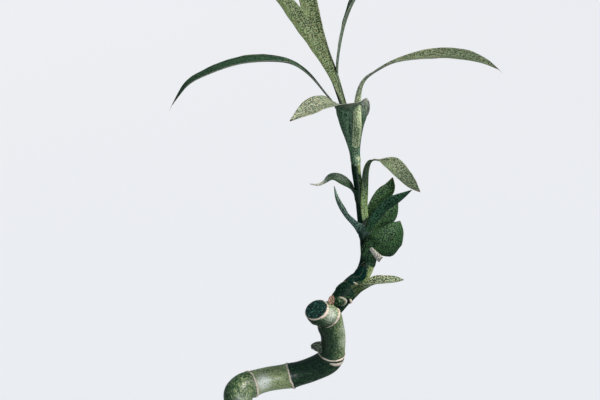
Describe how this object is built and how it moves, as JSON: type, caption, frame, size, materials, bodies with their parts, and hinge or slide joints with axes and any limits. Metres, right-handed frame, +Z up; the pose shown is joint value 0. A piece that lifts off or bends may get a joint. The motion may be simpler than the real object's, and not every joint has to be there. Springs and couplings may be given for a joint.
{
  "type": "lucky bamboo",
  "caption": "Bent, ringed lucky bamboo cane with a sealed top and one leafy side shoot, standing in pebbles and water in a plain clear glass vase.",
  "frame": {"origin": "centre of the vase's flat underside", "axes": "+Z up along the vase's axis, +X to the right and -Y towards the viewer in the picture"},
  "size_m": [0.174, 0.0774, 0.4112],
  "materials": {
    "clear_glass": "clear polished glass",
    "water": "still clear water",
    "pebble": "smooth worn stone, mixed greys and creams",
    "root": "orange-red root skin",
    "cane": "waxy green bark with pale leaf scars",
    "wax": "dark green sealing wax, grainy",
    "shoot": "smooth young green stem",
    "leaf": "satin leaf with fine lengthwise veins",
    "dark_leaf": "dark green satin leaf",
    "pale_leaf": "pale yellow-green satin leaf",
    "papery": "dry papery scale"
  },
  "bodies": {
    "root": {"vase": "clear_glass", "water": "water", "pebbles": "pebble", "roots": "root", "cane": "cane", "cut_seal": "wax", "shoot_stem": "shoot", "foot_scale": "dark_leaf", "leaf_stub": "pale_leaf", "leaf_round": "dark_leaf", "papery_scale": "papery", "leaf_hidden": "dark_leaf", "leaf_dark": "dark_leaf", "leaf_pointed": "dark_leaf", "leaf_folded": "leaf", "leaf_curly": "leaf", "leaf_pale_right": "pale_leaf", "leaf_right": "leaf", "leaf_funnel": "pale_leaf", "leaf_long_left": "leaf", "leaf_back_up": "leaf", "leaf_narrow_up": "leaf", "leaf_broad_up": "leaf", "ring_scale": "papery"}
  },
  "joints": []
}
